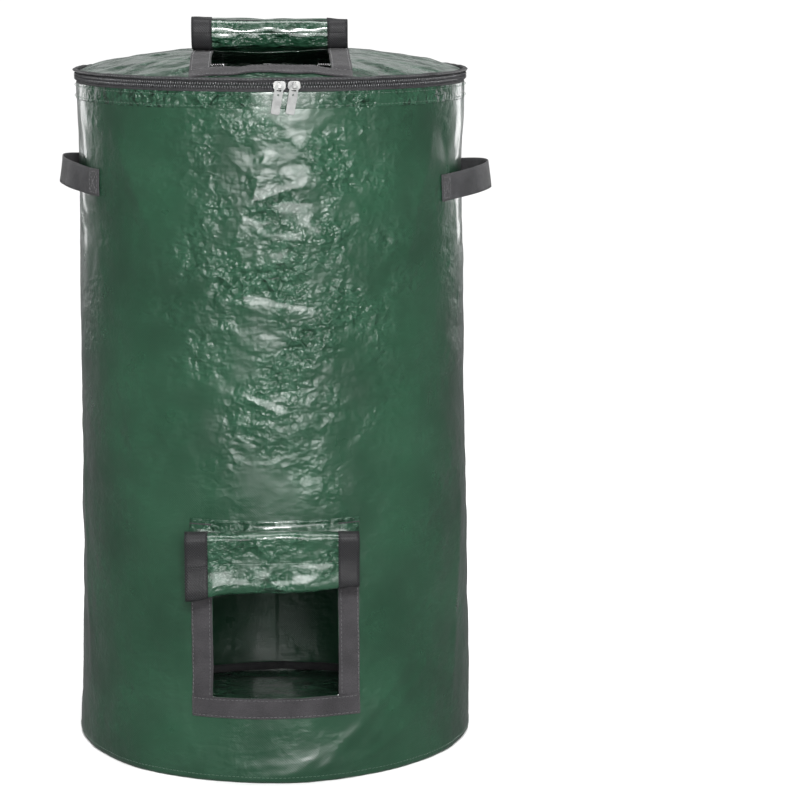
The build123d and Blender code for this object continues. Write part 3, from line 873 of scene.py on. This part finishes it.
def make_wall_hem():
    """The wall's folded top edge, outside the lower zip tape."""
    inner, outer = TAPE_RADIUS + 0.0001, WALL_HEM_RADIUS
    low, high = WALL_HEM_BOTTOM, WALL_HEM_TOP
    rows = spread(low + 0.0012, high - 0.0014, 0.0024)
    flush = outer - 0.0008
    profile = [(inner, low), (inner + 0.0003, low)] + [(flush, z) for z in rows]
    profile += [(flush - 0.0001, high - 0.0005), (flush - 0.0003, high), (inner, high)]
    band = swept_band("wall_hem", profile, wave=0.0003)
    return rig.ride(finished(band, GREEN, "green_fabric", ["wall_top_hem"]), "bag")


def make_base_binding():
    """The tape inside the bag over the seam of wall and base."""
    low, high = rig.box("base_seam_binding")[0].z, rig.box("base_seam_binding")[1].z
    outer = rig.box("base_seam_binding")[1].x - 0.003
    profile = [(outer - 0.001, low), (outer, low), (outer, high), (outer - 0.001, high)]
    band = swept_band("base_binding", profile, wave=0.0008, step=3)
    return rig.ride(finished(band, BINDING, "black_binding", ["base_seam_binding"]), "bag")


def make_piping():
    """The piping round the lid's edge, outside the upper zip tape."""
    low, high = PIPING_BOTTOM, PIPING_TOP
    inner, outer = TAPE_RADIUS + 0.0001, PIPING_RADIUS
    profile = [
        (inner, low), (outer - 0.0014, low), (outer - 0.0005, low + 0.0004), (outer, low + 0.0013),
        (outer, high - 0.0013), (outer - 0.0005, high - 0.0004), (outer - 0.0014, high),
        (inner + 0.0008, high), (inner - 0.0006, high - 0.0004), (inner - 0.0012, high - 0.0012),
        (inner - 0.0008, high - 0.0020), (inner, high - 0.0024),
    ]
    band = swept_band("lid_rim", profile, wave=0.0010)
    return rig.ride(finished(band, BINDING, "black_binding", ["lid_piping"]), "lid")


def make_zip_tapes():
    """The woven tapes that the two rows of coils are sewn to."""
    for name, low, high, body in (("lower", TAPE_BOTTOM, LOWER_EDGE - 0.0006, "bag"),
                                  ("upper", UPPER_EDGE + 0.0006, TAPE_TOP, "lid")):
        inner, outer = TOP_RADIUS + 0.0001, TAPE_RADIUS
        rows = spread(low, high, 0.0035)
        profile = [(outer, z) for z in rows] + [(inner, z) for z in reversed(rows)]
        tape = swept_band(f"zip_tape_{name}_woven", profile, -ZIP_END, ZIP_END, wave=0.0002)
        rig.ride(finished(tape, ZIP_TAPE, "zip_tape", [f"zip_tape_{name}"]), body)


COIL_PITCH = 0.0029
COIL_SECTION = 0.00085
INTERLOCK = 0.0009
COIL_CORNERS = 6
END_TAB = 161.5  # azimuth where the tab over the zip's end begins


def coil_row(name, outer_z, inner_z, phase, body, node):
    """A row of coil turns, each a bent bar whose head reaches past the meeting line."""
    vertices, faces = [], []
    radius = COIL_RADIUS - COIL_SECTION * 1.1
    turns = int(radians(2 * ZIP_END) * radius / COIL_PITCH)
    reach = INTERLOCK if inner_z > outer_z else -INTERLOCK
    heights = [outer_z, outer_z + (inner_z - outer_z) * 0.3, inner_z, inner_z + reach]
    bends = [-0.9, 0.15, 0.15, -0.7]
    sizes = [0.75, 1.0, 1.05, 0.6]
    for turn in range(turns):
        azimuth = -ZIP_END + (turn + 0.5 + phase) * 2 * ZIP_END / turns
        outward = facing(azimuth)
        aside = Vector((cos(radians(azimuth)), sin(radians(azimuth)), 0))
        faces += tube_faces(len(vertices), len(heights), COIL_CORNERS)
        for height, bend, size in zip(heights, bends, sizes):
            centre = outward * (radius + bend * COIL_SECTION) + Vector((0, 0, height))
            for corner in range(COIL_CORNERS):
                angle = 2 * pi * corner / COIL_CORNERS
                reach_out = outward * cos(angle) + aside * sin(angle) * 1.15
                vertices.append(centre + reach_out * COIL_SECTION * size)
    row = make_mesh(name, vertices, faces)
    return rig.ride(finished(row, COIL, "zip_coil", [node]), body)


def make_zip():
    """Both tapes with their coils, and the folded tab over each end."""
    make_zip_tapes()
    coil_row("coil_turns_lower", LOWER_COIL, LOWER_EDGE, 0.0, "bag", "zip_coil_lower")
    coil_row("coil_turns_upper", UPPER_COIL, UPPER_EDGE, 0.5, "lid", "zip_coil_upper")
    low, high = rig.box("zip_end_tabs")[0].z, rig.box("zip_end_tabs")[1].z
    inner = COIL_RADIUS + 0.0001
    profile = [(inner, low), (inner + 0.0009, low), (inner + 0.0012, low + 0.0012),
               (inner + 0.0012, high - 0.0010), (inner + 0.0007, high), (inner, high)]
    for side, first, last in (("left", -ZIP_END, -END_TAB), ("right", END_TAB, ZIP_END)):
        tab = swept_band(f"zip_end_{side}", profile, first, last, step=0.5)
        nodes = ["zip_end_tabs"] if side == "left" else []
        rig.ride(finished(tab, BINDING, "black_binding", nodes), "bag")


def make_hinge_strip():
    """The fabric that holds the lid on at the back and bends over when it opens."""
    half = 180 - ZIP_END
    radius = TOP_RADIUS + TAPE_THICKNESS / 2

    def place(azimuth, height):
        angle = radians(azimuth)
        pout = 0.0005 * noise.noise(Vector((azimuth * 0.4, height * 120, 2)))
        return Vector(((radius + pout) * sin(angle), -(radius + pout) * cos(angle), height))

    strip = grid_sheet("hinge_strip", spread(180 - half, 180 + half, 0.8),
                       spread(TAPE_BOTTOM, TAPE_TOP, 0.0018), place, wall_cloth)
    thicken(strip, 0.0007)
    flat = (radians(2 * half) * radius, TAPE_TOP - TAPE_BOTTOM)
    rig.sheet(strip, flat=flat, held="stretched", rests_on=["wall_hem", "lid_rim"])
    finished(strip, GREEN, "green_fabric", ["hinge_strip_lower", "hinge_strip_upper"])
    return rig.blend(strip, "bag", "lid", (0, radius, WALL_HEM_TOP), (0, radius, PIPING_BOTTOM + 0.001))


def make_metal():
    """The sliders and pulls keep their CAD shape, with their edges broken."""
    for name in ("slider_left", "slider_right", "pull_left", "pull_right"):
        piece = frame["nodes"][name]
        piece.data.materials.clear()
        piece.data.materials.append(SLIDER_METAL if name.startswith("slider") else PULL_METAL)
        edges = piece.modifiers.new("edges", "BEVEL")
        edges.width = 0.00035 if name.startswith("slider") else 0.0005
        edges.segments = 3
        edges.limit_method = "ANGLE"
        edges.angle_limit = radians(40)
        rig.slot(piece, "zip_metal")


# ---- window frames -----------------------------------------------------------


TAPE_STEP = 0.0038
TAPE_LIFT = 0.0010
CROSS_TAPE_LIFT = 0.0017
LOOP_THICKNESS = 0.0012


def tape_edge(across, low, high, along, seed):
    """Lets a cut tape's edges wander a little."""
    share = (across - low) / (high - low) * 2 - 1
    return across + share * 0.0006 * noise.noise(Vector((along / 0.02, seed, share * 2)))


def window_tape(name, low, high, surface, body, wander):
    """A strip of loop tape between two corners (x, along) of the surface that it is sewn to."""
    upright = high[1] - low[1] > high[0] - low[0]

    def place(x, along):
        if upright:
            return surface(tape_edge(x, low[0], high[0], along, low[0] * wander), along)
        return surface(x, tape_edge(along, low[1], high[1], x, low[1] * wander))

    tape = grid_sheet(f"{name}_pile", spread(low[0], high[0], TAPE_STEP),
                      spread(low[1], high[1], TAPE_STEP), place, lambda x, along: (x, along))
    thicken(tape, LOOP_THICKNESS)
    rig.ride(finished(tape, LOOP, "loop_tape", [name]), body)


def make_frames():
    """The three strips round each window: the cross strip lies over the ends of the other two."""
    def on_front(lift):
        return lambda x, z: on_wall(wall_azimuth(x, z), z, lift)

    def on_top(lift):
        return lambda x, y: on_lid(x, y, lift)

    for name, surface, body, wander, half, outer, end, inner_end, seam in (
            ("front_frame", on_front, "bag", 90, HALF_WINDOW, HALF_FLAP, FRAME_BOTTOM, WINDOW_BOTTOM,
             FRONT_SEAM),
            ("top_frame", on_top, "lid", 70, HALF_LID_WINDOW, HALF_LID_FLAP, LID_FRAME_FRONT,
             LID_WINDOW_FRONT, LID_SEAM)):
        under, over = surface(TAPE_LIFT), surface(CROSS_TAPE_LIFT)
        window_tape(f"{name}_left", (-outer, end + 0.001), (-half, seam), under, body, wander)
        window_tape(f"{name}_right", (half, end + 0.001), (outer, seam), under, body, wander)
        cross = "front_frame_bottom" if body == "bag" else "top_frame_front"
        window_tape(cross, (-outer, end), (outer, inner_end), over, body, wander)


# ---- rolled flaps ------------------------------------------------------------

ROUNDING = 0.88  # share of the shorter slat's half that a crease's arc takes
HOOK_LIFT = 0.0008
HOOK_THICKNESS = 0.0009
SAMPLE_STEP = 0.004
CUT_ROWS = (0.0008, 0.002, 0.004)  # rows of vertices close to a cut
LEAST_ROW = 0.0004
SEWN = 0.018  # stretch in which the flap leaves the surface that it is sewn to
HEM_LIFT = 0.0007


class Flap:
    """A flap rolled up above its window, as the pieces between the middles of its slats."""

    def __init__(self, name, parent, along, out, surface, halves, last_length, lean):
        self.name = name
        self.half_window, self.half = halves
        self.parent = parent
        self.along = Vector(along)
        self.out = Vector(out)
        self.surface = surface
        self.lean = lean
        count = len([node for node in frame["nodes"] if node.startswith(f"{name}_hooks_")])
        names = [f"{name}_flap_lift", f"{name}_flap_unroll"]
        names += [f"{name}_flap_crease_{k}" for k in range(2, count)]
        self.creases = [Vector(JOINTS[joint]["pos_m"]) for joint in names]
        ways = [self.along, self.out, -self.along, -self.out]
        self.ways = [ways[k % 4] for k in range(count)]
        inner = [-self.out, self.along, self.out, -self.along]
        self.inner = [inner[k % 4] for k in range(count)]
        self.creases.append(self.creases[-1] + self.ways[-1] * last_length)
        self.lengths = [(b - a).length for a, b in zip(self.creases, self.creases[1:])]
        self.starts = [sum(self.lengths[:k]) for k in range(count + 1)]
        self.cuts = [start + length / 2 for start, length in zip(self.starts, self.lengths)][:-1]
        self.centre = sum(self.creases[1:count + 1], Vector()) / count
        self.count = count

    def bulge(self, distance):
        """How far a slat bows out of its plane: most in its middle, and more on a longer slat."""
        slat = max(k for k in range(self.count) if self.starts[k] <= max(distance, 0))
        share = (distance - self.starts[slat]) / self.lengths[slat] * 2 - 1
        outer = 1 if slat == 2 else 0.3 if slat else 0
        return -outer * 0.085 * self.lengths[slat] * max(0.0, 1 - share * share)

    def radius(self, crease):
        """The arc's radius at a crease between two slats."""
        return ROUNDING * min(self.lengths[crease - 1], self.lengths[crease]) / 2

    def run(self, crease):
        """(point, inner normal, flat distance) samples from one slat's middle to the next's."""
        before, after = self.ways[crease - 1], self.ways[crease]
        corner, radius = self.creases[crease], self.radius(crease)
        first = corner - before * self.lengths[crease - 1] / 2
        is_last = crease == self.count - 1
        last = self.creases[crease + 1] if is_last else corner + after * self.lengths[crease] / 2
        flat = (corner - before * radius - first).length
        runs = {0.0, *CUT_ROWS, *spread(0, flat, SAMPLE_STEP)}
        samples = [(first + before * run, self.inner[crease - 1])
                   for run in sorted(runs) if run < flat - LEAST_ROW]
        for part in range(9):
            angle = pi / 2 * part / 8
            turn = before * sin(angle) + after * (1 - cos(angle))
            normal = self.inner[crease - 1] * cos(angle) + self.inner[crease] * sin(angle)
            samples.append((corner - before * radius + turn * radius, normal))
        reach = last - samples[-1][0]
        runs = {*spread(0, reach.length, SAMPLE_STEP), *(reach.length - gap for gap in CUT_ROWS)}
        for run in sorted(run for run in runs if run > LEAST_ROW):
            samples.append((corner + after * (radius + run), self.inner[crease]))
        lengths = [0.0]
        for low, high in zip(samples, samples[1:]):
            lengths.append(lengths[-1] + (high[0] - low[0]).length)
        flat_first = self.starts[crease - 1] + self.lengths[crease - 1] / 2
        flat_last = self.starts[crease + 1] if is_last else self.starts[crease] + self.lengths[crease] / 2
        scale = (flat_last - flat_first) / lengths[-1]
        return [(p, n, flat_first + s * scale) for (p, n), s in zip(samples, lengths)]

    def seam_run(self):
        """Samples from the hem over the seam to the middle of the first slat."""
        hem = abs(FRONT_HEM_TOP - FRONT_SEAM)
        end = self.lengths[0] / 2
        return [(self.creases[0] + self.along * s, -self.out, s)
                for s in lines([-hem, 0.0, SEWN, end - 0.003, end], 0.003)]

    def soften(self, point, normal, x, distance):
        """Takes a point of the plain roll to where the limp fabric lies."""
        rolled = smoothstep(0.0, 0.05, distance)
        sheet = Vector((x, distance * 1.2, 7.7 if self.parent == "bag" else 1.9))
        rumple = crumple(sheet, 0.05, 2) * 0.0012 + noise.noise(sheet / 0.03) * 0.0012
        nearest = min(abs(distance - cut) for cut in self.cuts)
        rumple *= smoothstep(0.0, 0.008, nearest)
        rumple += self.bulge(distance)
        sag = -0.25 * (BASE_RADIUS - (BASE_RADIUS**2 - x * x) ** 0.5) * (self.parent == "bag")
        left = smoothstep(-self.half / 2, -self.half, x) * rolled
        right = smoothstep(self.half / 2, self.half, x) * rolled
        moved = Vector((x, point.y, point.z)) + normal * rumple + self.out * sag
        from_centre = Vector((0, point.y, point.z)) - self.centre
        moved += from_centre * (0.10 * left - 0.10 * right + self.lean[2] * noise.noise(sheet / 0.09))
        moved += self.along * (0.0045 * left - 0.001 * right) * (self.parent == "bag")
        moved.x += self.lean[0] * rolled - self.lean[1] * left
        return moved

    def place(self, samples, lift):
        """The function that gives a point of the sheet at an x and a sample."""
        def at(x, index):
            point, normal, distance = samples[round(index)]
            away = normal * lift
            sewn = self.surface(x, distance, HEM_LIFT - lift * 0.6)
            if distance <= 0:
                return sewn
            free = self.soften(point, normal, x, distance) + away
            return free if distance >= SEWN else sewn.lerp(free, smoothstep(0, SEWN, distance))
        return at

    def pieces(self):
        """The fabric and the hook tape of every stretch, each bending over its own crease."""
        total = self.starts[-1]
        for part in range(self.count):
            samples = self.run(part) if part else self.seam_run()
            indexes = list(range(len(samples)))
            across = lines([-self.half, -self.half_window, self.half_window, self.half], 0.004)

            def cloth(x, index):
                return (x, samples[round(index)][2])

            def taped(x, index):
                distance = samples[min(int(index) + 1, len(samples) - 1)][2]
                at_end = distance > total - (self.half - self.half_window)
                return distance > 0.003 and (abs(x) > self.half_window or at_end)

            name = f"{self.name}_cloth_{part + 1}"
            fabric = grid_sheet(name, across, indexes, self.place(samples, 0.0), cloth)
            thicken(fabric, FABRIC)
            flat = samples[-1][2] - samples[0][2]
            tape = "top_frame_front_pile" if self.parent == "lid" else "front_frame_left_pile"
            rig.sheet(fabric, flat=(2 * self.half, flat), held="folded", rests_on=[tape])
            hems = [f"{self.name}_flap_hem"] if part == 0 else []
            finished(fabric, GREEN, "green_fabric", [f"{self.name}_flap_{part + 1}"] + hems)
            hooks = grid_sheet(f"{self.name}_hook_strip_{part + 1}", across, indexes,
                               self.place(samples, HOOK_LIFT), cloth, taped)
            thicken(hooks, HOOK_THICKNESS)
            finished(hooks, HOOK, "hook_tape", [f"{self.name}_hooks_{part + 1}"])
            for piece in (fabric, hooks):
                self.bend(piece, part)

    def bend(self, piece, part):
        """Makes a piece follow the bodies on both sides of its crease."""
        if part == 0:
            start, end = self.creases[0] - self.along * 0.004, self.creases[0] + self.along * 0.014
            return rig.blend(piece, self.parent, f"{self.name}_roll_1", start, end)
        radius = self.radius(part)
        start = self.creases[part] - self.ways[part - 1] * radius
        end = self.creases[part] + self.ways[part] * radius
        bodies = f"{self.name}_roll_{part}", f"{self.name}_roll_{part + 1}"
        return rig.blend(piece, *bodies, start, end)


def front_surface(x, distance, lift):
    """The wall, by the distance down from the front flap's seam."""
    height = FRONT_SEAM - distance
    return on_wall(wall_azimuth(x, height), height, lift)


def top_surface(x, distance, lift):
    """The lid, by the distance forward from the top flap's seam."""
    return on_lid(x, LID_SEAM - distance, lift)


def make_flaps():
    """Both flaps.  The last slat's own box stops short of its crease and edge by the gap."""
    gap = 0.0022
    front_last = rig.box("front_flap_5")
    front = Flap("front", "bag", (0, 0, -1), (0, -1, 0), front_surface, (HALF_WINDOW, HALF_FLAP),
                 front_last[1].z - front_last[0].z + gap, (-0.001, 0.004, 0.10))
    front.pieces()
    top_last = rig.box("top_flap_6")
    top = Flap("top", "lid", (0, -1, 0), (0, 0, 1), top_surface, (HALF_LID_WINDOW, HALF_LID_FLAP),
               top_last[1].z - top_last[0].z + gap, (-0.001, 0.0, 0.10))
    top.pieces()


# ---- handles -----------------------------------------------------------------

HANDLE_START = 59.0
HANDLE_PATCH = 0.026
HANDLE_RISE = 0.007
STRAP_THICKNESS = 0.0015


def make_handle(name, side, bowing, raised):
    """One length of webbing, sewn flat to the wall at both ends and standing off between them."""
    radius = wall_radius(HANDLE_HEIGHT)
    inner = HANDLE_START + degrees(HANDLE_PATCH / radius)
    patch = inner - HANDLE_START
    stand_off = bowing * (-HANDLE_LOW.x - radius - STRAP_THICKNESS)
    half_width = (HANDLE_HIGH.z - HANDLE_LOW.z) / 2

    def place(across, azimuth):
        share = max(-1.0, min(1.0, (azimuth - 90) / (90 - inner)))
        bow = (1 - share * share) ** 1.15
        tilt = HANDLE_RISE * bow + raised
        height = HANDLE_HEIGHT + across + tilt
        flutter = 0.0008 * noise.noise(Vector((azimuth * 0.09, across * 30, side)))
        at_wall = on_wall(side * azimuth, height, STRAP_THICKNESS / 2 + 0.0005)
        lean = -0.10 * across * bow
        outward = Vector((at_wall.x, at_wall.y, 0)).normalized()
        return at_wall + outward * (stand_off * bow + flutter * bow + lean)

    strap = grid_sheet(f"handle_{name}_strap", spread(-half_width, half_width, 0.0035),
                       lines([HANDLE_START, inner, 180 - inner, 180 - HANDLE_START], 0.7), place,
                       lambda across, azimuth: (across, radians(azimuth) * BASE_RADIUS))
    thicken(strap, STRAP_THICKNESS)
    nodes = [f"handle_{name}_{part}" for part in ("ends", "risers", "loop")]
    finished(strap, WEBBING, "webbing", nodes)
    chord = radius * sin(radians(inner))
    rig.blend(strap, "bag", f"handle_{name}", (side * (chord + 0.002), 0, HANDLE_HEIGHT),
             (side * (chord + 0.026), 0, HANDLE_HEIGHT))
    rows = []
    inset = 0.0035
    edge = half_width - inset
    lift = STRAP_THICKNESS + 0.0006
    for first in (HANDLE_START, 180 - HANDLE_START - patch):
        low = side * (first + degrees(inset / radius))
        high = side * (first + patch - degrees(inset / radius))
        bottom, top = HANDLE_HEIGHT + raised - edge, HANDLE_HEIGHT + raised + edge
        for a, b, c, d in ((low, bottom, high, bottom), (low, top, high, top), (low, bottom, low, top),
                           (high, bottom, high, top), (low, bottom, high, top), (low, top, high, bottom)):
            rows.append(wall_run(a, b, c, d, lift))
    sew(f"handle_{name}_stitches", rows, DARK_THREAD, "webbing", "bag")


# ---- seams -------------------------------------------------------------------


def rim_row(radius, height, first=-180.0, last=180.0):
    """A line of points round the rim, facing outwards."""
    points, normals = [], []
    for azimuth in spread(first, last, 1.0):
        points.append(facing(azimuth) * radius + Vector((0, 0, height)))
        normals.append(facing(azimuth))
    return points, normals


def make_seams():
    """Every visible row of stitches that isn't on a handle."""
    hem_rows = [rim_row(WALL_HEM_RADIUS + 0.0004, height)
                for height in (WALL_HEM_BOTTOM + 0.003, WALL_HEM_TOP - 0.003)]
    sew("wall_hem_stitches", hem_rows, GREEN_THREAD, "green_fabric", "bag")
    lid_rows = [rim_row(PIPING_RADIUS + 0.0002, (PIPING_BOTTOM + PIPING_TOP) / 2)]
    sew("lid_rim_stitches", lid_rows, DARK_THREAD, "black_binding", "lid")
    seam_rows = [wall_run(180 + turn, 0.006, 180 + turn, WALL_HEIGHT - 0.016, 0.0012)
                 for turn in (-1.6, 1.6)]
    sew("back_seam_stitches", seam_rows, GREEN_THREAD, "green_fabric", "bag")
    foot_rows = [wall_line(spread(-180, 180, 1.0), [0.0075] * 361, 0.0002)]
    sew("foot_stitches", foot_rows, GREEN_THREAD, "green_fabric", "bag")
    inset, lift = 0.0022, 0.0018
    frame_rows = []
    for x in (-HALF_FLAP + inset, -HALF_WINDOW - inset, HALF_WINDOW + inset, HALF_FLAP - inset):
        azimuth = wall_azimuth(x, FRONT_SEAM)
        frame_rows.append(wall_run(azimuth, WINDOW_BOTTOM, azimuth, FRONT_SEAM, lift))
    for height in (FRAME_BOTTOM + inset, WINDOW_BOTTOM - inset):
        reach = wall_azimuth(HALF_FLAP - inset, height)
        frame_rows.append(wall_run(-reach, height, reach, height, lift + 0.0007))
    sew("front_frame_stitches", frame_rows, DARK_THREAD, "loop_tape", "bag")
    height = FRONT_HEM_TOP - 0.0022
    reach = wall_azimuth(HALF_FLAP - inset, height)
    front_hem = [wall_run(-reach, height, reach, height, 0.0015)]
    sew("front_hem_stitches", front_hem, GREEN_THREAD, "green_fabric", "bag")
    top_rows = []
    half, outer = HALF_LID_WINDOW + inset, HALF_LID_FLAP - inset
    for x in (-outer, -half, half, outer):
        top_rows.append(lid_run(x, LID_WINDOW_FRONT, x, LID_SEAM, lift))
    for y in (LID_FRAME_FRONT + inset, LID_WINDOW_FRONT - inset):
        top_rows.append(lid_run(-outer, y, outer, y, lift + 0.0007))
    sew("top_frame_stitches", top_rows, DARK_THREAD, "loop_tape", "lid")
    back_rows = [lid_run(-outer, TOP_HEM_BACK - 0.0022, outer, TOP_HEM_BACK - 0.0022, 0.0015)]
    sew("top_hem_stitches", back_rows, GREEN_THREAD, "green_fabric", "lid")


# ---- stage -------------------------------------------------------------------


FLOOR_REACH = 60


def make_floor():
    """A plain pale floor, which the coated fabric doesn't mirror."""
    corners = [(x * FLOOR_REACH, y * FLOOR_REACH, 0) for x, y in ((-1, -1), (1, -1), (1, 1), (-1, 1))]
    floor = make_mesh("floor", corners, [(0, 1, 2, 3)])
    pale = Shader("floor", (0.86, 0.86, 0.855), 0.9)
    floor.data.materials.append(pale.material)
    floor.visible_glossy = False
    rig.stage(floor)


def area_light(name, place, target, size, height, power):
    """A white rectangular light that faces a target."""
    data = bpy.data.lights.new(name, "AREA")
    data.shape = "RECTANGLE"
    data.size = size
    data.size_y = height
    data.energy = power
    light = bpy.data.objects.new(name, data)
    light.location = place
    light.rotation_euler = (Vector(target) - Vector(place)).to_track_quat("-Z", "Y").to_euler()
    bpy.context.scene.collection.objects.link(light)


def make_lights():
    """Soft studio light: two in front, one on each edge, one behind and a wide one overhead."""
    area_light("key", (0.1, -2.7, 1.45), (0, 0, 0.6), 0.42, 0.3, 85)
    area_light("front_soft", (0.4, -3.3, 1.0), (0, 0, 0.5), 2.2, 0.9, 85)
    area_light("edge_left", (-1.6, 2.2, 0.9), (0, 0, 0.5), 0.5, 1.2, 7)
    area_light("edge_right", (1.6, 2.2, 0.9), (0, 0, 0.5), 0.5, 1.2, 9)
    area_light("back_panel", (0.0, 3.4, 1.9), (0, 0, 0.8), 3.4, 1.0, 8)
    sun = bpy.data.lights.new("overhead", "SUN")
    sun.energy = 3.3
    sun.angle = radians(30)
    bpy.context.scene.collection.objects.link(bpy.data.objects.new("overhead", sun))
    world = bpy.data.worlds.new("studio")
    world.use_nodes = True
    world.node_tree.nodes["Background"].inputs[0].default_value = (0.97, 0.98, 1.0, 1)
    world.node_tree.nodes["Background"].inputs[1].default_value = 0.22
    bpy.context.scene.world = world
    bpy.context.scene.view_settings.view_transform = "Standard"


make_wall()
make_base()
make_back_seam()
make_lid()
make_wall_hem()
make_base_binding()
make_piping()
make_zip()
make_hinge_strip()
make_metal()
make_frames()
make_flaps()
make_handle("left", -1, 0.75, 0.002)
make_handle("right", 1, 1.25, -0.006)
make_seams()
make_floor()
make_lights()

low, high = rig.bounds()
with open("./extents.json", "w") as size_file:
    json.dump({"cad": [list(CAD_LOW), list(CAD_HIGH)], "visual": [list(low), list(high)]}, size_file)
